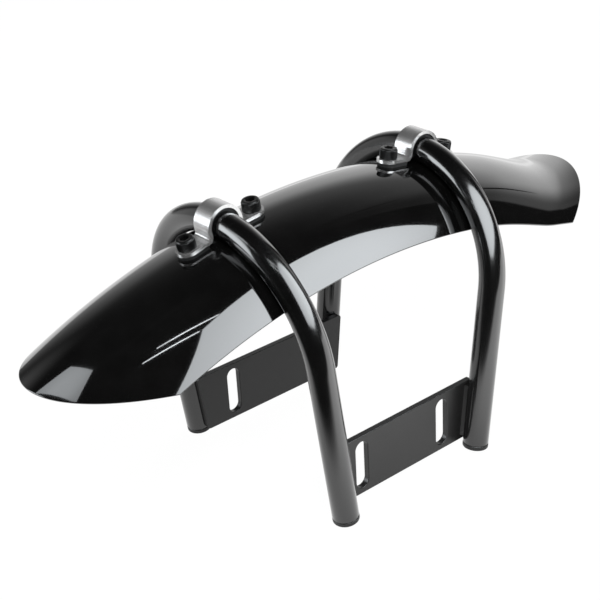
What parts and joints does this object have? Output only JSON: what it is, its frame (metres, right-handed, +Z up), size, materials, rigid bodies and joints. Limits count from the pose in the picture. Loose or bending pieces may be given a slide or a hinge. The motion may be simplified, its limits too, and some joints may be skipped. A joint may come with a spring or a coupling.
{
  "type": "motorcycle front fender",
  "caption": "Arched black fender blade with a flared rear end, held by chrome strap clamps on U-shaped tube stays that are joined at the feet by slotted fork plates.",
  "frame": {"origin": "on the floor, midway between the four feet of the stays", "axes": "+X along the blade towards its flared rear end, +Y towards the left fork leg, +Z up"},
  "size_m": [0.497, 0.188, 0.2234],
  "materials": {
    "blade_paint": "gloss",
    "tube_paint": "gloss",
    "plate_paint": "satin",
    "plug_plastic": "matt",
    "strap_chrome": "polished",
    "clamp_rubber": "matt",
    "screw_steel": "black oxide",
    "nut_steel": "zinc"
  },
  "bodies": {
    "root": {"fender_blade": "blade_paint", "front_stay": "tube_paint", "front_left_plug": "plug_plastic", "front_left_weld": "plate_paint", "front_right_plug": "plug_plastic", "front_right_weld": "plate_paint", "front_clamp_strap": "strap_chrome", "front_strap_liner": "clamp_rubber", "front_clamp_fore_pad": "clamp_rubber", "front_clamp_fore_screw": "screw_steel", "front_clamp_fore_washer": "nut_steel", "front_clamp_fore_nut": "nut_steel", "front_clamp_aft_pad": "clamp_rubber", "front_clamp_aft_screw": "screw_steel", "front_clamp_aft_washer": "nut_steel", "front_clamp_aft_nut": "nut_steel", "rear_stay": "tube_paint", "rear_left_plug": "plug_plastic", "rear_left_weld": "plate_paint", "rear_right_plug": "plug_plastic", "rear_right_weld": "plate_paint", "rear_clamp_strap": "strap_chrome", "rear_strap_liner": "clamp_rubber", "rear_clamp_fore_pad": "clamp_rubber", "rear_clamp_fore_screw": "screw_steel", "rear_clamp_fore_washer": "nut_steel", "rear_clamp_fore_nut": "nut_steel", "rear_clamp_aft_pad": "clamp_rubber", "rear_clamp_aft_screw": "screw_steel", "rear_clamp_aft_washer": "nut_steel", "rear_clamp_aft_nut": "nut_steel", "left_fork_plate": "plate_paint", "right_fork_plate": "plate_paint"}
  },
  "joints": []
}
